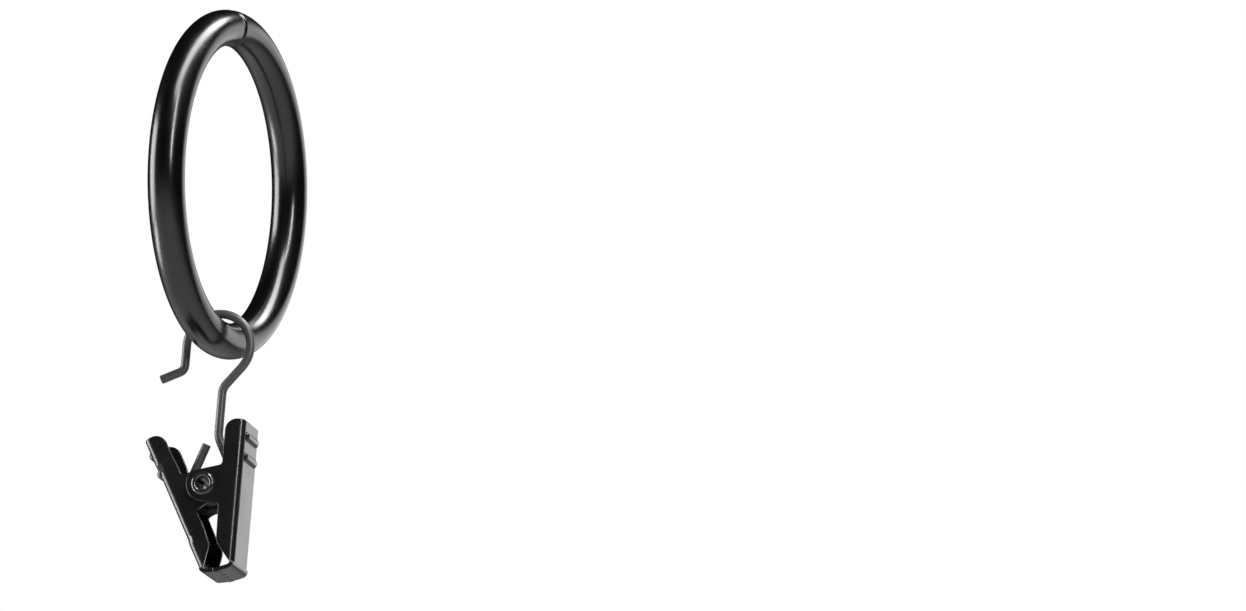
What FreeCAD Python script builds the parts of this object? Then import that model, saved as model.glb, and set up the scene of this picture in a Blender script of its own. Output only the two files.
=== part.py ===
"""Curtain ring with a spring clip that hangs from it on a wire hook.

Millimetres. The origin is the centre of the ring, +X is the ring's own axis, +Z is up.
The ring lies in the YZ plane. The hook and the clip are drawn in the XZ plane, and turned together
on the ring's wire at the end, as a loose hook hangs.
"""

import math
import os

import FreeCAD
import Part
from FreeCAD import Matrix, Vector

# ring
RING_BORE = 38.1            # inside diameter, the 1.5 inch size
RING_WIRE = 5.0
SEAM_GAP = 0.25             # butt joint left open
SEAM_ANGLE = 12.5           # from the top of the ring, towards -Y
SEAM_ROUND = 0.5            # broken edge of each cut end

# hook
HOOK_WIRE = 1.2
HOOK_GAP = 0.12             # between the arch and the ring's wire
HOOK_TURN = 8.0             # how far the hook hangs turned on the ring, about the vertical
HOOK_LEAN = 20.0            # where the arch sits on the ring's wire, from its top
ARCH_SLACK = 1.4            # play of the arch on the ring's wire
ARCH_EXIT = 39.0            # how far past the side the arch runs on to the neck
NECK_BEND = 2.2
SHANK_OFFSET = 0.5          # shank's centreline, from the pivot towards +X
JOG_ANGLE = 27.0            # slope of the jog that takes the shank round the pivot
JOG_BEND = 3.0
EYE_DROP = 2.2              # straight wire above the pivot's level
EYE_GAP = 0.15              # between the eye and the spring inside it
EYE_WRAP = 200.0            # how far the eye goes round below the pivot
TAIL_LENGTH = 5.4
LEG_LENGTH = 3.5
LEG_BEND = 1.1
LIP_ANGLE = 66.0            # how far the end of the short leg is turned out
LIP_LENGTH = 2.4

# clip
PIVOT_DROP = 42.6           # pivot below the ring's centre
PIVOT_SHIFT = 1.0           # pivot beside the ring's centre, so the clip hangs under the arch's contact
CLIP_WIDTH = 8.0            # over the outside of the side walls
SHEET = 0.6
SHEET_BEND = 1.0            # outside radius of the folded edges
WEB_OFFSET = 5.15           # pivot to the outside of a jaw's back
HANDLE_REACH = 9.1          # pivot's level to the end of a handle
JAW_REACH = 10.5            # pivot's level to the fold of the lip
JAW_ANGLE = 28.0            # between the two backs, closed
HANDLE_WALL = 2.75          # depth of a handle's side wall
HANDLE_ROUND = 1.6          # free corner of a handle's wall
HANDLE_CORNER = 0.4         # its other corner, at the back
EAR_RADIUS = 2.4
EAR_SHOULDER = 0.35         # ear's circle to the corners above and below it
EAR_FILLET = 0.5
EAR_FOOT_FILLET = 0.35
EAR_CORNER = 134.0          # where the ear's top edge meets its round end
EAR_FOOT = 256.0            # where its lower edge meets it
NOSE_WALL = 2.8             # depth of the side wall below the ear
NOSE_TIP_WALL = 1.1         # and at the tip
NOSE_ROUND = 0.6
NOSE_TAPER = 0.1            # wall lost by the bend in its edge
NOSE_BEND = 1.6             # radius of that bend
NOSE_BEND_AT = 0.75         # where it is, as a share of the jaw's reach
LIP_TURN = 70.0             # how far the lip is folded in
LIP_BEND = 1.0              # outside radius of that fold
LIP_BLANK = 5.0             # length of the lip before its teeth are cut
TOOTH_COUNT = 4
TOOTH_DEPTH = 1.0
TOOTH_GAP = 0.1             # between the two rows of teeth, closed
NEST_GAP = 0.1              # between nested ears
STEP_LENGTH = 1.0           # slope where the inner jaw's walls step in
STEP_TOP = 4.2              # narrow part's upper end
STEP_FOOT = 5.8             # and its lower end
RIB_RADIUS = 0.7
RIB_RISE = 0.42
RIB_COUNT = 2
RIB_LENGTH = 6.2
RIB_FIRST = 2.2             # from the handle's end
RIB_PITCH = 2.8

# rivet
RIVET_RADIUS = 1.25
RIVET_BORE = 0.85
HEAD_RADIUS = 1.65
HEAD_HEIGHT = 0.45
HEAD_FULLNESS = 0.4         # 0 is a flat chamfer on the rolled head, 1 a square corner
PIVOT_GAP = 0.05

# spring
SPRING_WIRE = 0.7
SPRING_BORE_GAP = 0.35      # coil to rivet
SPRING_TURNS = 4            # whole turns, before the part turn between the legs
TURN_GAP = 0.06
SPRING_LEG = 6.6            # leg's end above the pivot's level
SPRING_SEAT_GAP = 0.08

PIVOT = Vector(PIVOT_SHIFT, 0, -PIVOT_DROP)
HALF_WIDTH = CLIP_WIDTH / 2
NARROW_HALF = HALF_WIDTH - SHEET - NEST_GAP
ARCH_RADIUS = (RING_WIRE + HOOK_WIRE) / 2 + ARCH_SLACK
EYE_RADIUS = RIVET_RADIUS + SPRING_BORE_GAP + SPRING_WIRE + EYE_GAP + HOOK_WIRE / 2
FAR = 40.0                  # longer than any piece, for blocks that trim a shape


def polar(radius, angle):
    """Point of the XZ plane at this radius and angle from +X towards +Z."""
    turn = math.radians(angle)
    return Vector(radius * math.cos(turn), 0, radius * math.sin(turn))


def arc(centre, radius, start, end):
    """Arc in the XZ plane from one angle to the other, either way round."""
    middle = (start + end) / 2
    return Part.Arc(centre + polar(radius, start), centre + polar(radius, middle),
                    centre + polar(radius, end)).toShape()


def line(start, end):
    return Part.makeLine(start, end)


def rounded_path(points, radii):
    """Open wire through the points, each inner corner rounded to its radius or left sharp at 0."""
    edges = []
    here = points[0]
    for corner, after, radius in zip(points[1:-1], points[2:], radii):
        if radius == 0:
            edges.append(line(here, corner))
            here = corner
            continue
        into = (corner - here).normalize()
        out = (after - corner).normalize()
        half = into.getAngle(out) / 2
        cut = radius * math.tan(half)
        first = corner - into * cut
        last = corner + out * cut
        bulge = (out - into).normalize()
        middle = corner + bulge * (radius / math.cos(half) - radius)
        edges += [line(here, first), Part.Arc(first, middle, last).toShape()]
        here = last
    edges.append(line(here, points[-1]))
    return edges


def round_wire(edges, diameter):
    """Solid of round wire along a chain of tangent edges."""
    path = Part.Wire(edges)
    start = path.Edges[0]
    first = start.valueAt(start.FirstParameter)
    along = start.tangentAt(start.FirstParameter)
    section = Part.Wire(Part.makeCircle(diameter / 2, first, along))
    return path.makePipeShell([section], True, False, 2)


def make_ring():
    """Round wire bent to a ring, its two cut ends left a hair apart."""
    radius = (RING_BORE + RING_WIRE) / 2
    gap_turn = math.degrees(SEAM_GAP / radius)
    section = Part.Face(Part.Wire(Part.makeCircle(RING_WIRE / 2, Vector(0, 0, radius), Vector(0, 1, 0))))
    ring = section.revolve(Vector(0, 0, 0), Vector(1, 0, 0), 360 - gap_turn)
    ends = [edge for edge in ring.Edges if edge.Closed and edge.Curve.TypeId == "Part::GeomCircle"
            and abs(edge.Curve.Radius - RING_WIRE / 2) < 0.01]
    ring = ring.makeFillet(SEAM_ROUND, ends)
    ring.rotate(Vector(0, 0, 0), Vector(1, 0, 0), SEAM_ANGLE + gap_turn / 2)
    return ring


def make_hook():
    """One wire: lip, short leg, arch over the ring, neck, jogged shank, open eye and tail."""
    seat = ARCH_RADIUS - HOOK_WIRE / 2 - RING_WIRE / 2 - HOOK_GAP
    ring_wire = Vector(0, 0, -(RING_BORE + RING_WIRE) / 2)
    arch_centre = ring_wire + polar(seat, HOOK_LEAN - 90)
    arch_start = arch_centre + polar(ARCH_RADIUS, 180)
    leg_corner = arch_start + Vector(0, 0, -LEG_LENGTH)
    lip_turn = math.radians(LIP_ANGLE)
    lip_end = leg_corner + Vector(-math.sin(lip_turn), 0, -math.cos(lip_turn)) * (LIP_LENGTH + LEG_BEND)
    leg = rounded_path([lip_end, leg_corner, arch_start], [LEG_BEND])
    arch = arc(arch_centre, ARCH_RADIUS, 180, -ARCH_EXIT)
    neck_start = arch_centre + polar(ARCH_RADIUS, -ARCH_EXIT)
    neck_way = polar(1, -ARCH_EXIT - 90)
    shank_x = PIVOT.x + SHANK_OFFSET
    neck_corner = neck_start + neck_way * ((neck_start.x - shank_x) / -neck_way.x)
    eye_side = PIVOT + polar(EYE_RADIUS, 0)
    jog_foot = eye_side + Vector(0, 0, EYE_DROP)
    jog_top = Vector(shank_x, 0, jog_foot.z + (jog_foot.x - shank_x) / math.tan(math.radians(JOG_ANGLE)))
    shank = rounded_path([neck_start, neck_corner, jog_top, jog_foot, eye_side],
                         [NECK_BEND, JOG_BEND, JOG_BEND])
    eye = arc(PIVOT, EYE_RADIUS, 0, -EYE_WRAP)
    tail_start = PIVOT + polar(EYE_RADIUS, -EYE_WRAP)
    tail = line(tail_start, tail_start + polar(TAIL_LENGTH, -EYE_WRAP - 90))
    return round_wire(leg + [arch] + shank + [eye, tail], HOOK_WIRE)


def channel_section(half_width, level):
    """Closed U section at one level of a jaw: side walls towards -X, back at WEB_OFFSET."""
    inner_bend = SHEET_BEND - SHEET
    open_x = -FAR / 4
    back = WEB_OFFSET
    outside = [Vector(open_x, -half_width, level), Vector(back, -half_width, level),
               Vector(back, half_width, level), Vector(open_x, half_width, level)]
    inside = [Vector(open_x, half_width - SHEET, level), Vector(back - SHEET, half_width - SHEET, level),
              Vector(back - SHEET, SHEET - half_width, level), Vector(open_x, SHEET - half_width, level)]
    edges = rounded_path(outside, [SHEET_BEND, SHEET_BEND])
    edges.append(line(outside[-1], inside[0]))
    edges += rounded_path(inside, [inner_bend, inner_bend])
    edges.append(line(inside[-1], outside[0]))
    return Part.Wire(edges)


def side_outline():
    """Profile of a jaw's side wall seen along the pivot, as a face in the XZ plane."""
    handle_x = WEB_OFFSET - HANDLE_WALL
    nose_x = WEB_OFFSET - NOSE_WALL
    tip_x = WEB_OFFSET - NOSE_TIP_WALL
    corner = polar(EAR_RADIUS, EAR_CORNER)
    foot = polar(EAR_RADIUS, EAR_FOOT)
    ear_top = Vector(handle_x, 0, EAR_RADIUS + EAR_SHOULDER)
    ear_bottom = Vector(nose_x, 0, -EAR_RADIUS - EAR_SHOULDER)
    nose_bend = Vector(nose_x + NOSE_TAPER, 0, -JAW_REACH * NOSE_BEND_AT)
    tip = Vector(tip_x, 0, -JAW_REACH + NOSE_ROUND)
    edges = [arc(Vector(), EAR_RADIUS, EAR_FOOT, EAR_CORNER)]
    edges += rounded_path(
        [corner, ear_top, Vector(handle_x, 0, HANDLE_REACH), Vector(WEB_OFFSET, 0, HANDLE_REACH),
         Vector(WEB_OFFSET, 0, -JAW_REACH), Vector(WEB_OFFSET - SHEET, 0, -JAW_REACH),
         tip, nose_bend, ear_bottom, foot],
        [EAR_FILLET, HANDLE_ROUND, HANDLE_CORNER, 0, 0, NOSE_ROUND, NOSE_BEND, EAR_FOOT_FILLET])
    return Part.Face(Part.Wire(Part.__sortEdges__(edges)))


def make_lip(row):
    """Folded end of a jaw with its row of teeth. row 0 has teeth where row 1 has notches."""
    inner_bend = LIP_BEND - SHEET
    hinge = Vector(WEB_OFFSET - LIP_BEND, 0, -JAW_REACH)
    turn = math.radians(LIP_TURN)
    along = Vector(-math.sin(turn), 0, -math.cos(turn))
    outer_start = hinge + polar(LIP_BEND, 0)
    outer_end = hinge + polar(LIP_BEND, -LIP_TURN)
    inner_start = hinge + polar(inner_bend, 0)
    inner_end = hinge + polar(inner_bend, -LIP_TURN)
    profile = Part.Wire([
        arc(hinge, LIP_BEND, 0, -LIP_TURN), line(outer_end, outer_end + along * LIP_BLANK),
        line(outer_end + along * LIP_BLANK, inner_end + along * LIP_BLANK),
        line(inner_end + along * LIP_BLANK, inner_end), arc(hinge, inner_bend, -LIP_TURN, 0),
        line(inner_start, outer_start)])
    lip = Part.Face(profile).extrude(Vector(0, CLIP_WIDTH, 0))
    lip.translate(Vector(0, -HALF_WIDTH, 0))
    return lip.common(tooth_room(row))


def tooth_room(row):
    """Block on a jaw's own side of the closing plane, edged with the zigzag of its teeth."""
    pitch = CLIP_WIDTH / TOOTH_COUNT
    edge = TOOTH_GAP / 2
    points = []
    for step in range(2 * TOOTH_COUNT + 1):
        forward = (step + row) % 2
        depth = TOOTH_DEPTH / 2 if forward else -TOOTH_DEPTH / 2
        points.append(Vector(edge + depth, -HALF_WIDTH + step * pitch / 2, 0))
    points += [Vector(FAR / 2, HALF_WIDTH, 0), Vector(FAR / 2, -HALF_WIDTH, 0)]
    room = Part.Face(Part.makePolygon(points + [points[0]])).extrude(Vector(0, 0, -FAR))
    room.rotate(Vector(), Vector(0, 1, 0), -JAW_ANGLE / 2)
    return room


def make_ribs():
    """Grip ribs pressed out of the back of a handle, as (raised, hollow) solids."""
    raised, hollow = [], []
    centre_x = WEB_OFFSET + RIB_RISE - RIB_RADIUS
    for place in range(RIB_COUNT):
        level = HANDLE_REACH - RIB_FIRST - place * RIB_PITCH
        for radius, shift, found in ((RIB_RADIUS, 0, raised), (RIB_RADIUS - SHEET / 2, -SHEET / 2, hollow)):
            half = RIB_LENGTH / 2 - RIB_RADIUS
            base = Vector(centre_x + shift, -half, level)
            bar = Part.makeCylinder(radius, 2 * half, base, Vector(0, 1, 0))
            ball = Part.makeSphere(radius, base)
            other = Part.makeSphere(radius, base + Vector(0, 2 * half, 0))
            found.append(bar.fuse([ball, other]).removeSplitter())
    return raised, hollow


def make_jaw(stations, bore, row):
    """Stamped channel with ears round the pivot, ribs on the handle and a toothed lip.

    stations lists (level, half width) from the tip up, so the walls can step in at the ears.
    """
    channel = Part.makeLoft([channel_section(half, level) for level, half in stations], True, True)
    wall = side_outline().extrude(Vector(0, FAR, 0))
    wall.translate(Vector(0, -FAR / 2, 0))
    jaw = channel.common(wall)
    raised, hollow = make_ribs()
    behind_back = Part.makeBox(FAR, FAR, FAR, Vector(WEB_OFFSET - SHEET / 2, -FAR / 2, -FAR / 2))
    jaw = jaw.fuse([rib.common(behind_back) for rib in raised] + [make_lip(row)])
    jaw = jaw.cut(hollow)
    hole = Part.makeCylinder(bore, FAR, Vector(0, -FAR / 2, 0), Vector(0, 1, 0))
    return jaw.cut(hole).removeSplitter()


def seat_clip(shape, mirrored):
    """Put a jaw on the pivot. The outer jaw's back hangs plumb, the inner one faces it."""
    if mirrored:
        flip = Matrix()
        flip.scale(Vector(-1, 1, 1))
        shape = shape.transformGeometry(flip)
        shape.rotate(Vector(), Vector(0, 1, 0), -JAW_ANGLE)
    shape.translate(PIVOT)
    return shape


def make_outer_jaw():
    ends = [(-JAW_REACH - SHEET, HALF_WIDTH), (HANDLE_REACH + SHEET, HALF_WIDTH)]
    return seat_clip(make_jaw(ends, RIVET_RADIUS, 0), False)


def make_inner_jaw():
    stations = [(-JAW_REACH - SHEET, HALF_WIDTH), (-STEP_FOOT - STEP_LENGTH, HALF_WIDTH),
                (-STEP_FOOT, NARROW_HALF), (STEP_TOP, NARROW_HALF),
                (STEP_TOP + STEP_LENGTH, HALF_WIDTH), (HANDLE_REACH + SHEET, HALF_WIDTH)]
    return seat_clip(make_jaw(stations, RIVET_RADIUS + PIVOT_GAP, 1), True)


def rolled(start, end, corner):
    """Arc from start to end that bulges towards the corner, as a rolled edge does."""
    middle = (start + end) * ((1 - HEAD_FULLNESS) / 2) + corner * HEAD_FULLNESS
    return Part.Arc(start, middle, end).toShape()


def make_rivet():
    """Tube with both ends rolled over the outer jaw's ears."""
    top = HALF_WIDTH + HEAD_HEIGHT
    crest = Vector((RIVET_BORE + HEAD_RADIUS) / 2, top, 0)
    mouth = Vector(RIVET_BORE, HALF_WIDTH, 0)
    rim = Vector(HEAD_RADIUS, HALF_WIDTH, 0)
    neck = Vector(RIVET_RADIUS, HALF_WIDTH, 0)
    waist = Vector(RIVET_RADIUS, 0, 0)
    inside = Vector(RIVET_BORE, 0, 0)
    profile = Part.Wire([
        line(inside, mouth), rolled(mouth, crest, Vector(RIVET_BORE, top, 0)),
        rolled(crest, rim, Vector(HEAD_RADIUS, top, 0)),
        line(rim, neck), line(neck, waist), line(waist, inside)])
    half = Part.Face(profile).revolve(Vector(), Vector(0, 1, 0), 360)
    other = half.mirror(Vector(), Vector(0, 1, 0))
    rivet = half.fuse(other).removeSplitter()
    rivet.translate(PIVOT)
    return rivet


def make_spring():
    """Close wound coil on the rivet. A straight leg from each end lies along a handle's back."""
    coil_radius = RIVET_RADIUS + SPRING_BORE_GAP + SPRING_WIRE / 2
    seat = WEB_OFFSET - SHEET - SPRING_SEAT_GAP - SPRING_WIRE / 2
    leg = Vector(seat, 0, SPRING_LEG)
    leave = math.degrees(math.atan2(leg.z, leg.x) - math.acos(coil_radius / leg.Length))
    enter = 180 - leave + JAW_ANGLE
    turns = SPRING_TURNS + (leave - enter) / 360 + 1
    pitch = SPRING_WIRE + TURN_GAP
    height = turns * pitch
    leg_length = math.sqrt(leg.Length ** 2 - coil_radius ** 2)
    helix = Part.makeHelix(pitch, height, coil_radius)
    helix.rotate(Vector(), Vector(1, 0, 0), 90)
    helix.translate(Vector(0, height / 2, 0))
    helix.rotate(Vector(), Vector(0, 1, 0), -enter)
    coil = helix.Edges
    first, last = coil[0], coil[-1]
    start = first.valueAt(first.FirstParameter)
    start_way = first.tangentAt(first.FirstParameter)
    end = last.valueAt(last.LastParameter)
    end_way = last.tangentAt(last.LastParameter)
    path = [line(start - start_way * leg_length, start)] + coil + [line(end, end + end_way * leg_length)]
    spring = round_wire(path, SPRING_WIRE)
    spring.translate(PIVOT)
    return spring


def export(name, shape, turn=0):
    """Turn the shape about the vertical, then write its one solid."""
    shape.rotate(Vector(), Vector(0, 0, 1), turn)
    print(name, "solids", len(shape.Solids), "valid", shape.isValid(), "volume", round(shape.Volume, 3))
    shape.Solids[0].exportStep(f"parts/{name}.step")


def main():
    os.makedirs("parts", exist_ok=True)
    export("ring", make_ring())
    export("hook", make_hook(), HOOK_TURN)
    export("outer_jaw", make_outer_jaw(), HOOK_TURN)
    export("inner_jaw", make_inner_jaw(), HOOK_TURN)
    export("rivet", make_rivet(), HOOK_TURN)
    export("torsion_spring", make_spring(), HOOK_TURN)


main()
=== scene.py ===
import collections
import itertools
import math

import bmesh
import bpy
import numpy as np
from mathutils import Matrix, Vector


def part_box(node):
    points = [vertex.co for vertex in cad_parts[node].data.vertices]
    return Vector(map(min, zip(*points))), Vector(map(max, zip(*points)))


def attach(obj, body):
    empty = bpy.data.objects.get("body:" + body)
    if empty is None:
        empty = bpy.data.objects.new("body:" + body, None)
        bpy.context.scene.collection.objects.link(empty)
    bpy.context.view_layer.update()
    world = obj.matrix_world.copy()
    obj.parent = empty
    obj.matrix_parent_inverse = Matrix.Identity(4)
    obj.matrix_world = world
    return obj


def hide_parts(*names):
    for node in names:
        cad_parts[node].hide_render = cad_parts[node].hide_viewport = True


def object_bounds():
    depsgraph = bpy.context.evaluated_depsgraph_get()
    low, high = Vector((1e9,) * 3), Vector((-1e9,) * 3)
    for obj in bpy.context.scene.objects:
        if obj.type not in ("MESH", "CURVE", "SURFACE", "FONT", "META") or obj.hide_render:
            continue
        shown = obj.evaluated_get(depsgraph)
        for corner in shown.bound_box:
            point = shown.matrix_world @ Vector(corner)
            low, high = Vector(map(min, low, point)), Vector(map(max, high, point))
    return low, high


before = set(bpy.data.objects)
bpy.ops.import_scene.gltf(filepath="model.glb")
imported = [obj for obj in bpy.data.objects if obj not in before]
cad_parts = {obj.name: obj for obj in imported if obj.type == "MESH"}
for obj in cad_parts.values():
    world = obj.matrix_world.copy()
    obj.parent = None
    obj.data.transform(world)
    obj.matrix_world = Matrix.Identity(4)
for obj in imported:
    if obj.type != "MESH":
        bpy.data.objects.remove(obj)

mm = 0.001
fine = dict(foldAngle=40, endPoints=9, bendPoints=24, arcPoints=60, quarterPoints=12)  # points along each curve
cadLow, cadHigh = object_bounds()
print("frame loaded, nodes:", sorted(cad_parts))


# sRGB hex to linear: c / 12.92 below 0.04045, else ((c + 0.055) / 1.055) ^ 2.4
def hexColour(text):
    values = [int(text[i:i + 2], 16) / 255 for i in (1, 3, 5)]
    return [c / 12.92 if c <= 0.04045 else ((c + 0.055) / 1.055) ** 2.4 for c in values] + [1.0]


# adds one node, sets its properties and sockets, and links what is handed in as an output socket
def addNode(tree, kind, props=None, inputs=None):
    node = tree.nodes.new(kind)
    for key, value in (props or {}).items():
        setattr(node, key, value)
    for key, value in (inputs or {}).items():
        if isinstance(value, bpy.types.NodeSocket):
            tree.links.new(value, node.inputs[key])
        else:
            node.inputs[key].default_value = value
    return node


# closed mesh with its faces turned outwards, shaded smooth except where it folds by more than foldAngle
def smoothPiece(name, points, faces):
    mesh = bpy.data.meshes.new(name)
    mesh.from_pydata(points, [], faces)
    turned = bmesh.new()
    turned.from_mesh(mesh)
    bmesh.ops.recalc_face_normals(turned, faces=turned.faces)
    turned.to_mesh(mesh)
    turned.free()
    mesh.polygons.foreach_set("use_smooth", np.ones(len(mesh.polygons), bool))
    mesh.set_sharp_from_angle(angle=math.radians(fine["foldAngle"]))
    piece = bpy.data.objects.new(name, mesh)
    bpy.context.scene.collection.objects.link(piece)
    return piece


# grid of points (rows, columns, 3) to a closed tube: every row is a ring, beyond the first and last rows it closes to a point
def tubeMesh(name, rings, firstTip, lastTip):
    rows, sides = rings.shape[:2]
    points = np.concatenate([rings.reshape(-1, 3), [firstTip, lastTip]])
    row, side = np.meshgrid(np.arange(rows - 1), np.arange(sides), indexing="ij")
    nextSide = (side + 1) % sides
    quads = np.stack([row * sides + side, (row + 1) * sides + side,
                      (row + 1) * sides + nextSide, row * sides + nextSide], -1).reshape(-1, 4)
    around = np.arange(sides)
    after = (around + 1) % sides
    firstFan = np.stack([around * 0 + rows * sides, around, after], -1)
    lastFan = np.stack([around * 0 + rows * sides + 1, (rows - 1) * sides + after, (rows - 1) * sides + around], -1)
    return smoothPiece(name, points.tolist(), quads.tolist() + firstFan.tolist() + lastFan.tolist())


# grid of points (rows, columns, 3) that closes both ways, as a tube with rolled ends does
def loopMesh(name, points):
    rows, sides = points.shape[:2]
    row, side = np.meshgrid(np.arange(rows), np.arange(sides), indexing="ij")
    nextRow, nextSide = (row + 1) % rows, (side + 1) % sides
    quads = np.stack([row * sides + side, nextRow * sides + side,
                      nextRow * sides + nextSide, row * sides + nextSide], -1).reshape(-1, 4)
    return smoothPiece(name, points.reshape(-1, 3).tolist(), quads.tolist())


# distance walked along a path up to each of its points: the running sum of its straight pieces
def walkedLength(points):
    return np.concatenate([[0], np.cumsum(np.linalg.norm(np.diff(points, axis=0), axis=1))])


# round wire along a path: point(s, a) = path(s) + r(s) (cos a * out + sin a * side)
# r(s) is the wire's radius, less the corner round near each cut end: r - f + sqrt(f^2 - (f - s)^2)
def wirePiece(name, path, out, radius, cornerRound, sides):
    along = np.gradient(path, axis=0)
    along /= np.linalg.norm(along, axis=1, keepdims=True)
    out = out - (out * along).sum(1, keepdims=True) * along
    out /= np.linalg.norm(out, axis=1, keepdims=True)
    side = np.cross(along, out)
    walked = walkedLength(path)
    fromEnd = np.minimum(walked, walked[-1] - walked)
    inRound = np.clip(cornerRound - fromEnd, 0, cornerRound)
    local = radius - cornerRound + np.sqrt(cornerRound ** 2 - inRound ** 2)
    angle = np.linspace(0, 2 * np.pi, sides, endpoint=False)
    rings = (path[:, None] + local[:, None, None]
             * (np.cos(angle)[None, :, None] * out[:, None] + np.sin(angle)[None, :, None] * side[:, None]))
    return tubeMesh(name, rings, path[0], path[-1])


# distances along a wire of this length: round (1 - cos a) over each rounded end, even steps between
def endSpacing(length, cornerRound, step):
    endSteps = cornerRound * (1 - np.cos(np.linspace(0, np.pi / 2, fine["endPoints"])))
    middle = np.linspace(cornerRound, length - cornerRound, int(length / step))
    return np.concatenate([endSteps[:-1], middle, length - endSteps[-2::-1]])


# the same path with points only at these distances along it, each coordinate read off between its neighbours
def resample(points, distances):
    walked = walkedLength(points)
    return np.stack([np.interp(distances, walked, coordinate) for coordinate in points.T], -1)


# point of the XZ plane at this radius and angle (degrees, from +X towards +Z)
def polar(radius, angle):
    turn = np.radians(angle)
    return np.stack([radius * np.cos(turn), 0 * turn, radius * np.sin(turn)], -1)


# arc in the XZ plane: centre + radius (cos a, 0, sin a), a from start to end
def arcPoints(centre, radius, start, end):
    return centre + polar(radius, np.linspace(start, end, fine["arcPoints"]))


# straight pieces through the corners, each corner replaced by an arc that touches both: cut = r tan(half the turn)
def bentPath(corners, bends):
    pieces = [corners[:1]]
    for corner, after, bend in zip(corners[1:-1], corners[2:], bends):
        into = corner - pieces[-1][-1]
        into = into / np.linalg.norm(into)
        out = (after - corner) / np.linalg.norm(after - corner)
        half = math.acos(float(np.clip(into @ out, -1, 1))) / 2
        bulge = (out - into) / np.linalg.norm(out - into)
        centre = corner + bulge * bend / math.cos(half)
        forward = (into + out) / np.linalg.norm(into + out)
        swing = np.linspace(-half, half, fine["bendPoints"])[:, None]
        pieces.append(centre + bend * (np.sin(swing) * forward - np.cos(swing) * bulge))
    pieces.append(corners[-1:])
    return np.concatenate(pieces)


# hook and clip are turned together about the vertical: (x cos t - y sin t, x sin t + y cos t, z)
def hung(points):
    turn = math.radians(hang["turn"])
    x, y, z = points[..., 0], points[..., 1], points[..., 2]
    return np.stack([x * math.cos(turn) - y * math.sin(turn), x * math.sin(turn) + y * math.cos(turn), z], -1)


# coated steel: one dark colour, a faint orange peel as bump, sheen that changes in slow clouds, specks of caught dust
def coatedSteel(name, settings):
    material = bpy.data.materials.new(name)
    material.use_nodes = True
    tree = material.node_tree
    tree.nodes.clear()
    place = addNode(tree, "ShaderNodeTexCoord").outputs["Object"]
    peel = addNode(tree, "ShaderNodeTexNoise", {},
                   {"Vector": place, "Scale": 1 / settings["peelSize"], "Detail": 2.0, "Roughness": 0.5})
    cloud = addNode(tree, "ShaderNodeTexNoise", {},
                    {"Vector": place, "Scale": 1 / settings["cloudSize"], "Detail": 3.0, "Roughness": 0.6})
    gloss = addNode(tree, "ShaderNodeMapRange", {},
                    {"Value": cloud.outputs["Fac"], "From Min": 0.3, "From Max": 0.7,
                     "To Min": settings["glossMin"], "To Max": settings["glossMax"]})
    specks = addNode(tree, "ShaderNodeTexVoronoi", {"feature": "F1"},
                     {"Vector": place, "Scale": 1 / settings["speckSpacing"], "Randomness": 1.0})
    dust = addNode(tree, "ShaderNodeMapRange", {},
                   {"Value": specks.outputs["Distance"], "From Min": settings["speckSize"],
                    "From Max": settings["speckSize"] * 0.5, "To Min": 0.0, "To Max": 1.0})
    colour = addNode(tree, "ShaderNodeMix", {"data_type": "RGBA"},
                     {"Factor": dust.outputs["Result"], "A": hexColour(settings["colour"]),
                      "B": hexColour(settings["speckColour"])})
    bump = addNode(tree, "ShaderNodeBump", {},
                   {"Height": peel.outputs["Fac"], "Strength": settings["peelStrength"],
                    "Distance": settings["peelDepth"]})
    shader = addNode(tree, "ShaderNodeBsdfPrincipled", {},
                     {"Base Color": colour.outputs["Result"], "Roughness": gloss.outputs["Result"],
                      "IOR": settings["ior"], "Normal": bump.outputs["Normal"]})
    addNode(tree, "ShaderNodeOutputMaterial", {}, {"Surface": shader.outputs["BSDF"]})
    return material


# peel, cloud and speck sizes are real ones, the specks drawn a little coarser than dust so that they show
# satin enamel baked on after dipping: deep black with soft-edged streaks
ringEnamel = dict(colour="#050506", speckColour="#5a5a5a", peelSize=1.2 * mm, peelDepth=0.02 * mm, peelStrength=0.25,
                  cloudSize=9 * mm, glossMin=0.18, glossMax=0.28, speckSpacing=2.5 * mm, speckSize=0.03, ior=1.5)
# thin enamel on drawn wire: dark grey and duller, a broad weak sheen along each bend
wireEnamel = dict(colour="#343436", speckColour="#6a6a6a", peelSize=0.5 * mm, peelDepth=0.01 * mm, peelStrength=0.3,
                  cloudSize=4 * mm, glossMin=0.32, glossMax=0.44, speckSpacing=1.5 * mm, speckSize=0.04, ior=1.5)
# gloss enamel on pressed sheet: black walls, crisp lines of light along the folds
clipEnamel = dict(colour="#111112", speckColour="#444444", peelSize=0.8 * mm, peelDepth=0.01 * mm, peelStrength=0.2,
                  cloudSize=5 * mm, glossMin=0.2, glossMax=0.28, speckSpacing=2.5 * mm, speckSize=0.03, ior=1.5)
# the same enamel on the smooth rolled rivet: sharper rings of light from a glossier finish, and a colour painted
# lighter than the clip's that stands in for brighter highlights
rivetEnamelPaintedLighter = dict(colour="#1c1c1e", speckColour="#444444", peelSize=0.6 * mm, peelDepth=0.01 * mm, peelStrength=0.1,
                   cloudSize=3 * mm, glossMin=0.07, glossMax=0.12, speckSpacing=2.5 * mm, speckSize=0.03, ior=1.6)
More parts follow.
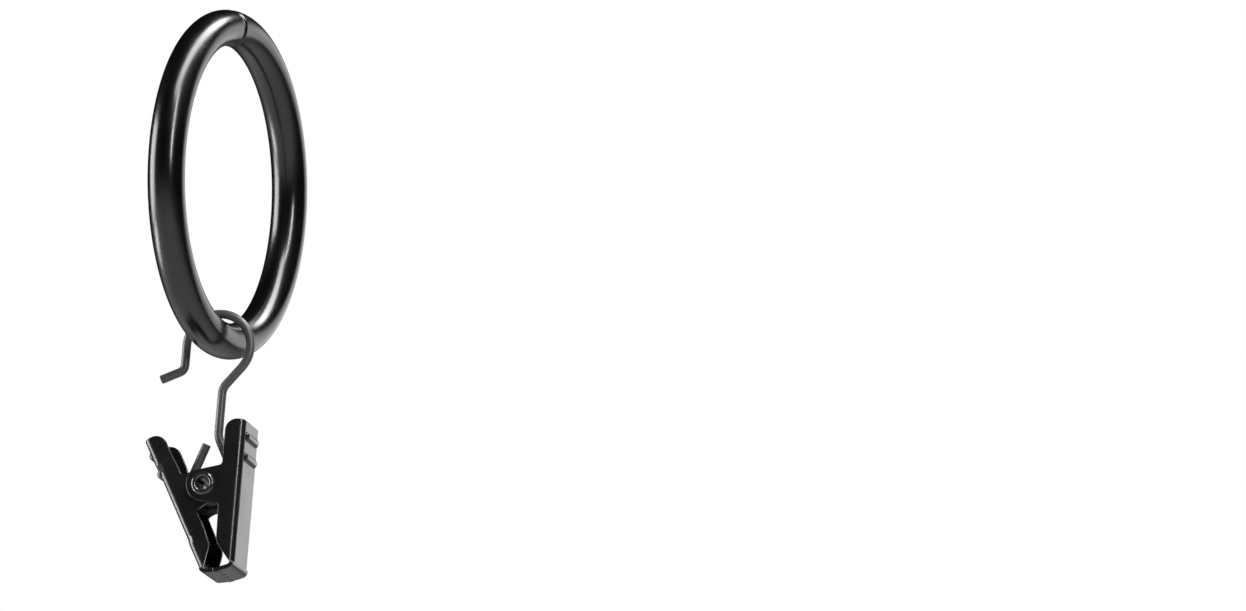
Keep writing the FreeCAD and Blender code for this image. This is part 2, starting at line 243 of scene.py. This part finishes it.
# hard-drawn spring wire, darkened by heat: mid grey with a plain sheen
springWire = dict(colour="#77777a", speckColour="#707070", peelSize=0.4 * mm, peelDepth=0.01 * mm, peelStrength=0.3,
                  cloudSize=3 * mm, glossMin=0.2, glossMax=0.32, speckSpacing=1.5 * mm, speckSize=0.03, ior=1.6)
ringMaterial = coatedSteel("black_satin_enamel_on_ring_wire", ringEnamel)
wireMaterial = coatedSteel("black_enamel_on_hook_wire", wireEnamel)
clipMaterial = coatedSteel("black_gloss_enamel_on_pressed_sheet", clipEnamel)
# the rivet's material carries the painted lighter colour, a painted highlight over the whole rivet
rivetPaintedLighterMaterial = coatedSteel("black_gloss_enamel_on_rolled_rivet_painted_lighter", rivetEnamelPaintedLighter)
springMaterial = coatedSteel("darkened_spring_wire", springWire)
print("materials made")


# gives a piece its material and body, and hides the nodes of the frame that it takes the place of
def dress(piece, material, body, slotName, *nodes):
    piece.data.materials.clear()
    piece.data.materials.append(material)
    if nodes:
        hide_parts(*nodes)
    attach(piece, body)


ringLow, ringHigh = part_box("ring")
ring = dict(wire=ringHigh.x - ringLow.x, seamGap=0.25 * mm, seamAngle=12.5, seamRound=0.5 * mm,
            step=0.35 * mm, sides=64)
ring["radius"] = ringHigh.z - ring["wire"] / 2


# circle in the YZ plane, centre(t) = radius (0, -sin t, cos t), t from the seam all the way round
def makeRing():
    length = 2 * math.pi * ring["radius"] - ring["seamGap"]
    distance = endSpacing(length, ring["seamRound"], ring["step"])
    t = math.radians(ring["seamAngle"]) + (distance + ring["seamGap"] / 2) / ring["radius"]
    out = np.stack([0 * t, -np.sin(t), np.cos(t)], -1)
    return wirePiece("ring_wire", ring["radius"] * out, out, ring["wire"] / 2, ring["seamRound"], ring["sides"])


ringPiece = makeRing()
dress(ringPiece, ringMaterial, "ring", "ring_black", "ring")
print("ring made")

hang = dict(turn=8.0, pivot=np.array([1.0 * mm, 0, -42.6 * mm]))
hook = dict(wire=1.2 * mm, gap=0.12 * mm, lean=20.0, slack=1.4 * mm, archExit=39.0, neckBend=2.2 * mm,
            shank=0.5 * mm, jogAngle=27.0, jogBend=3.0 * mm, eyeRadius=3.05 * mm, eyeDrop=2.2 * mm, eyeWrap=200.0,
            tail=5.4 * mm, leg=3.5 * mm, legBend=1.1 * mm, lipAngle=66.0, lip=2.4 * mm,
            cutRound=0.12 * mm, step=0.12 * mm, sides=32)


# one wire in the XZ plane: lip, short leg, arch over the ring, neck, jogged shank, open eye round the pivot, tail
def makeHook():
    archRadius = (ring["wire"] + hook["wire"]) / 2 + hook["slack"]
    seat = archRadius - (ring["wire"] + hook["wire"]) / 2 - hook["gap"]
    arch = np.array([0, 0, -ring["radius"]]) + polar(seat, hook["lean"] - 90)
    archStart = arch + polar(archRadius, 180)
    legCorner = archStart - np.array([0, 0, hook["leg"]])
    lipEnd = legCorner + polar(hook["lip"] + hook["legBend"], -90 - hook["lipAngle"])
    neckStart = arch + polar(archRadius, -hook["archExit"])
    neckWay = polar(1, -hook["archExit"] - 90)
    shankX = hang["pivot"][0] + hook["shank"]
    neckCorner = neckStart + neckWay * (neckStart[0] - shankX) / -neckWay[0]
    eyeSide = hang["pivot"] + polar(hook["eyeRadius"], 0)
    jogFoot = eyeSide + np.array([0, 0, hook["eyeDrop"]])
    jogRise = (jogFoot[0] - shankX) / math.tan(math.radians(hook["jogAngle"]))
    jogTop = np.array([shankX, 0, jogFoot[2] + jogRise])
    tailStart = hang["pivot"] + polar(hook["eyeRadius"], -hook["eyeWrap"])
    path = np.concatenate([
        bentPath(np.array([lipEnd, legCorner, archStart]), [hook["legBend"]])[:-1],
        arcPoints(arch, archRadius, 180, -hook["archExit"])[:-1],
        bentPath(np.array([neckStart, neckCorner, jogTop, jogFoot, eyeSide]),
                 [hook["neckBend"], hook["jogBend"], hook["jogBend"]])[:-1],
        arcPoints(hang["pivot"], hook["eyeRadius"], 0, -hook["eyeWrap"]),
        [tailStart + polar(hook["tail"], -hook["eyeWrap"] - 90)]])
    path = resample(path, endSpacing(walkedLength(path)[-1], hook["cutRound"], hook["step"]))
    across = np.zeros_like(path) + [0, 1, 0]
    return wirePiece("hook_wire", hung(path), hung(across), hook["wire"] / 2, hook["cutRound"], hook["sides"])


hookPiece = makeHook()
dress(hookPiece, wireMaterial, "hook", "wire_black", "hook")
print("hook made")

# pressed jaws come from the frame, their edges broken as a stamping's are
jawEdge = dict(merge=0.001 * mm, flat=0.2, width=0.1 * mm, angle=45.0, cusp=35.0, segments=3)


# copy of a node, its doubles merged and its flat faces made whole, then the cut edges rounded over a small width
# an edge that meets another in a cusp narrower than jawEdge's stays sharp, because a round would fold over there
def pressedPiece(name, node):
    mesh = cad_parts[node].data.copy()
    welded = bmesh.new()
    welded.from_mesh(mesh)
    bmesh.ops.remove_doubles(welded, verts=welded.verts, dist=jawEdge["merge"])
    bmesh.ops.dissolve_limit(welded, angle_limit=math.radians(jawEdge["flat"]), verts=welded.verts,
                             edges=welded.edges)
    weight = welded.edges.layers.float.new("bevel_weight_edge")
    sharp = [edge for edge in welded.edges if edge.calc_face_angle(0) > math.radians(jawEdge["angle"])]
    leaving = collections.defaultdict(list)
    for edge in sharp:
        for vert in edge.verts:
            leaving[vert].append((edge.other_vert(vert).co - vert.co).normalized())
    for edge in sharp:
        cosines = [a.dot(b) for vert in edge.verts for a, b in itertools.combinations(leaving[vert], 2)]
        edge[weight] = float(max(cosines or [1.0]) < math.cos(math.radians(jawEdge["cusp"])))
        edge.smooth = edge[weight] > 0
    welded.to_mesh(mesh)
    welded.free()
    mesh.polygons.foreach_set("use_smooth", np.ones(len(mesh.polygons), bool))
    piece = bpy.data.objects.new(name, mesh)
    bpy.context.scene.collection.objects.link(piece)
    bevel = piece.modifiers.new("broken_edges", "BEVEL")
    bevel.limit_method = "WEIGHT"
    bevel.width = jawEdge["width"]
    bevel.segments = jawEdge["segments"]
    bevel.harden_normals = True
    bevel.use_clamp_overlap = False
    weighted = piece.modifiers.new("flat_faces_stay_flat", "WEIGHTED_NORMAL")
    weighted.keep_sharp = True
    return piece


outerJaw = pressedPiece("outer_jaw_pressing", "outer_jaw")
dress(outerJaw, clipMaterial, "clip", "clip_black", "outer_jaw")
innerJaw = pressedPiece("inner_jaw_pressing", "inner_jaw")
dress(innerJaw, clipMaterial, "inner_jaw", "clip_black", "inner_jaw")

rivet = dict(neck=1.25 * mm, bore=0.85 * mm, head=1.65 * mm, headHeight=0.45 * mm, halfWidth=4.0 * mm, sides=72)


# tube with both ends rolled over: closed outline (r, y) turned round the pivot, rolled edges are quarter ellipses
def makeRivet():
    quarter = np.linspace(0, np.pi / 2, fine["quarterPoints"])
    crest = (rivet["bore"] + rivet["head"]) / 2
    innerR = crest - (crest - rivet["bore"]) * np.cos(quarter)
    outerR = crest + (rivet["head"] - crest) * np.sin(quarter)
    innerY = rivet["halfWidth"] + rivet["headHeight"] * np.sin(quarter)
    outerY = rivet["halfWidth"] + rivet["headHeight"] * np.cos(quarter)
    neck = np.array([rivet["neck"], rivet["neck"]])
    neckY = np.array([rivet["halfWidth"], -rivet["halfWidth"]])
    r = np.concatenate([innerR, outerR[1:], neck, outerR[:0:-1], innerR[::-1]])
    y = np.concatenate([innerY, outerY[1:], neckY, -outerY[:0:-1], -innerY[::-1]])
    angle = np.linspace(0, 2 * np.pi, rivet["sides"], endpoint=False)
    points = np.stack([r[:, None] * np.cos(angle), y[:, None] + 0 * angle, r[:, None] * np.sin(angle)], -1)
    return loopMesh("rivet_tube", hung(points + hang["pivot"]))


rivetPiece = makeRivet()
dress(rivetPiece, rivetPaintedLighterMaterial, "clip", "rivet_black", "rivet")

spring = dict(wire=0.7 * mm, boreGap=0.35 * mm, wholeTurns=4, turnGap=0.06 * mm, legTop=6.6 * mm, back=5.15 * mm,
              sheet=0.6 * mm, seatGap=0.08 * mm, jawAngle=28.0, movingTurn=90.0, turnStep=3.0,
              cutRound=0.08 * mm, step=0.1 * mm, sides=24)


# coil round the pivot with a straight leg off each end
# point(t) = (r cos(t + enter), half the coil's length - pitch t, r sin(t + enter)), pitch per degree of turn
# the first leg and a quarter turn go with the inner jaw, the rest stays with the clip
def makeSpring():
    radius = rivet["neck"] + spring["boreGap"] + spring["wire"] / 2
    seat = spring["back"] - spring["sheet"] - spring["seatGap"] - spring["wire"] / 2
    reach = math.hypot(seat, spring["legTop"])
    leave = math.degrees(math.atan2(spring["legTop"], seat) - math.acos(radius / reach))
    enter = 180 - leave + spring["jawAngle"]
    turned = 360 * (spring["wholeTurns"] + 1) + leave - enter
    pitch = (spring["wire"] + spring["turnGap"]) / 360
    t = np.linspace(0, turned, int(turned / spring["turnStep"]))
    coil = polar(radius, t + enter) + np.stack([0 * t, pitch * (turned / 2 - t), 0 * t], -1)
    leg = math.sqrt(reach ** 2 - radius ** 2)
    startWay = (coil[1] - coil[0]) / np.linalg.norm(coil[1] - coil[0])
    endWay = (coil[-1] - coil[-2]) / np.linalg.norm(coil[-1] - coil[-2])
    split = int(spring["movingTurn"] / spring["turnStep"])
    moving = np.concatenate([[coil[0] - leg * startWay], coil[:split + 1]])
    staying = np.concatenate([coil[split:], [coil[-1] + leg * endWay]])
    pieces = []
    for name, points in (("spring_leg", moving), ("spring_coil", staying)):
        path = resample(points, endSpacing(walkedLength(points)[-1], spring["cutRound"], spring["step"]))
        out = path * [1, 0, 1]
        pieces.append(wirePiece(name, hung(path + hang["pivot"]), hung(out), spring["wire"] / 2,
                                spring["cutRound"], spring["sides"]))
    return pieces


springLeg, springCoil = makeSpring()
dress(springLeg, springMaterial, "inner_jaw", "spring_steel", "torsion_spring")
dress(springCoil, springMaterial, "clip", "spring_steel", "torsion_spring")
print("clip dressed")

studio = dict(floor=-0.25, floorSize=6.0, worldSoft=0.12, roomMirrored=0.0, sweepStart=0.84, sweepEnd=0.95,
              sweepMirrored=1.7, sweepAzimuth=165.0, floorGlow=0.55)


# square sheet of white paper below: it takes the shadow, is a little darker when mirrored and glows only when seen
def makeFloor():
    half = studio["floorSize"] / 2
    mesh = bpy.data.meshes.new("floor")
    mesh.from_pydata([(-half, -half, studio["floor"]), (half, -half, studio["floor"]),
                      (half, half, studio["floor"]), (-half, half, studio["floor"])], [], [(0, 1, 2, 3)])
    floor = bpy.data.objects.new("floor", mesh)
    bpy.context.scene.collection.objects.link(floor)
    material = bpy.data.materials.new("white_paper")
    material.use_nodes = True
    tree = material.node_tree
    tree.nodes.clear()
    rays = addNode(tree, "ShaderNodeLightPath")
    tint = addNode(tree, "ShaderNodeMix", {"data_type": "RGBA"},
                   {"Factor": rays.outputs["Is Glossy Ray"], "A": hexColour("#f2f2f2"), "B": hexColour("#c0c0c0")})
    paper = addNode(tree, "ShaderNodeBsdfDiffuse", {}, {"Color": tint.outputs["Result"]})
    glow = addNode(tree, "ShaderNodeEmission", {}, {"Color": hexColour("#ffffff"), "Strength": studio["floorGlow"]})
    dark = addNode(tree, "ShaderNodeEmission", {}, {"Color": hexColour("#000000"), "Strength": 0.0})
    lift = addNode(tree, "ShaderNodeMixShader", {},
                   {0: rays.outputs["Is Camera Ray"], 1: dark.outputs[0], 2: glow.outputs[0]})
    both = addNode(tree, "ShaderNodeAddShader", {}, {0: paper.outputs[0], 1: lift.outputs[0]})
    addNode(tree, "ShaderNodeOutputMaterial", {}, {"Surface": both.outputs[0]})
    mesh.materials.append(material)


# unit vector from the object towards a place: (sin a cos e, -cos a cos e, sin e)
def towards(azimuth, elevation):
    a, e = math.radians(azimuth), math.radians(elevation)
    return Vector((math.sin(a) * math.cos(e), -math.cos(a) * math.cos(e), math.sin(e)))


# white where it is seen; mirrored it is a white sweep behind that fades to a dark room; softer where it only lights
def makeWorld():
    world = bpy.data.worlds.new("white_studio")
    bpy.context.scene.world = world
    world.use_nodes = True
    tree = world.node_tree
    tree.nodes.clear()
    rays = addNode(tree, "ShaderNodeLightPath")
    seen = addNode(tree, "ShaderNodeMath", {"operation": "MAXIMUM"},
                   {0: rays.outputs["Is Camera Ray"], 1: rays.outputs["Is Transmission Ray"]})
    seenOrMirrored = addNode(tree, "ShaderNodeMath", {"operation": "MAXIMUM"},
                             {0: seen.outputs["Value"], 1: rays.outputs["Is Glossy Ray"]})
    behind = addNode(tree, "ShaderNodeVectorMath", {"operation": "DOT_PRODUCT"},
                     {0: addNode(tree, "ShaderNodeTexCoord").outputs["Generated"],
                      1: towards(studio["sweepAzimuth"], 0)})
    sweep = addNode(tree, "ShaderNodeMapRange", {"interpolation_type": "SMOOTHSTEP"},
                    {"Value": behind.outputs["Value"],
                     "From Min": studio["sweepStart"], "From Max": studio["sweepEnd"],
                     "To Min": studio["roomMirrored"], "To Max": studio["sweepMirrored"]})
    mirrored = addNode(tree, "ShaderNodeMix", {"data_type": "FLOAT"},
                       {0: rays.outputs["Is Glossy Ray"], 2: 1.0, 3: sweep.outputs["Result"]})
    white = addNode(tree, "ShaderNodeBackground", {},
                    {"Color": hexColour("#ffffff"), "Strength": mirrored.outputs[0]})
    soft = addNode(tree, "ShaderNodeBackground", {}, {"Color": hexColour("#ffffff"), "Strength": studio["worldSoft"]})
    mixed = addNode(tree, "ShaderNodeMixShader", {},
                    {0: seenOrMirrored.outputs["Value"], 1: soft.outputs[0], 2: white.outputs[0]})
    addNode(tree, "ShaderNodeOutputWorld", {}, {"Surface": mixed.outputs[0]})


# soft boxes round the object: azimuth and elevation as the camera's, aimed at the object's middle
lamps = {
    "left_strip": dict(azimuth=-71, elevation=4, distance=0.7, size=(0.42, 0.5), watts=7.2),
    "low_left": dict(azimuth=-78, elevation=-30, distance=0.45, size=(0.2, 0.16), watts=1.3),
    "right_strip": dict(azimuth=48, elevation=25, distance=0.7, size=(0.06, 0.5), watts=3.5),
    "over_panel": dict(azimuth=90, elevation=66, distance=0.6, size=(1.0, 0.2), watts=9.0),
}
middle = (cadLow + cadHigh) / 2


# each lamp stands at middle + distance * towards(azimuth, elevation) and shines back at the middle
def makeLamps():
    for name, lamp in lamps.items():
        light = bpy.data.lights.new(name, "AREA")
        light.shape = "RECTANGLE"
        light.size, light.size_y = lamp["size"]
        light.energy = lamp["watts"]
        back = towards(lamp["azimuth"], lamp["elevation"])
        place = bpy.data.objects.new(name, light)
        place.matrix_world = (Matrix.Translation(middle + back * lamp["distance"])
                              @ back.to_track_quat("Z", "Y").to_matrix().to_4x4())
        bpy.context.scene.collection.objects.link(place)


view = dict(azimuth=19.5, elevation=-12.5, roll=4.0, distance=0.757, lens=160.0, sensor=36.0,
            lookHeight=-19.3 * mm, aimRight=55.4 * mm, aimUp=2.2 * mm)


# the camera looks at a point on the ring's upright axis, moved right and up in the picture, then steps back from it
def makeCamera():
    data = bpy.data.cameras.new("camera")
    data.lens = view["lens"]
    data.sensor_width = view["sensor"]
    back = towards(view["azimuth"], view["elevation"])
    facing = back.to_track_quat("Z", "Y").to_matrix() @ Matrix.Rotation(math.radians(view["roll"]), 3, "Z")
    right, up = facing.col[0], facing.col[1]
    camera = bpy.data.objects.new("camera", data)
    aim = Vector((0, 0, view["lookHeight"])) + right * view["aimRight"] + up * view["aimUp"]
    camera.matrix_world = Matrix.Translation(aim + back * view["distance"]) @ facing.to_4x4()
    bpy.context.scene.collection.objects.link(camera)
    bpy.context.scene.camera = camera


makeFloor()
makeWorld()
makeLamps()
makeCamera()
bpy.context.scene.view_settings.view_transform = "Standard"
print("studio set")
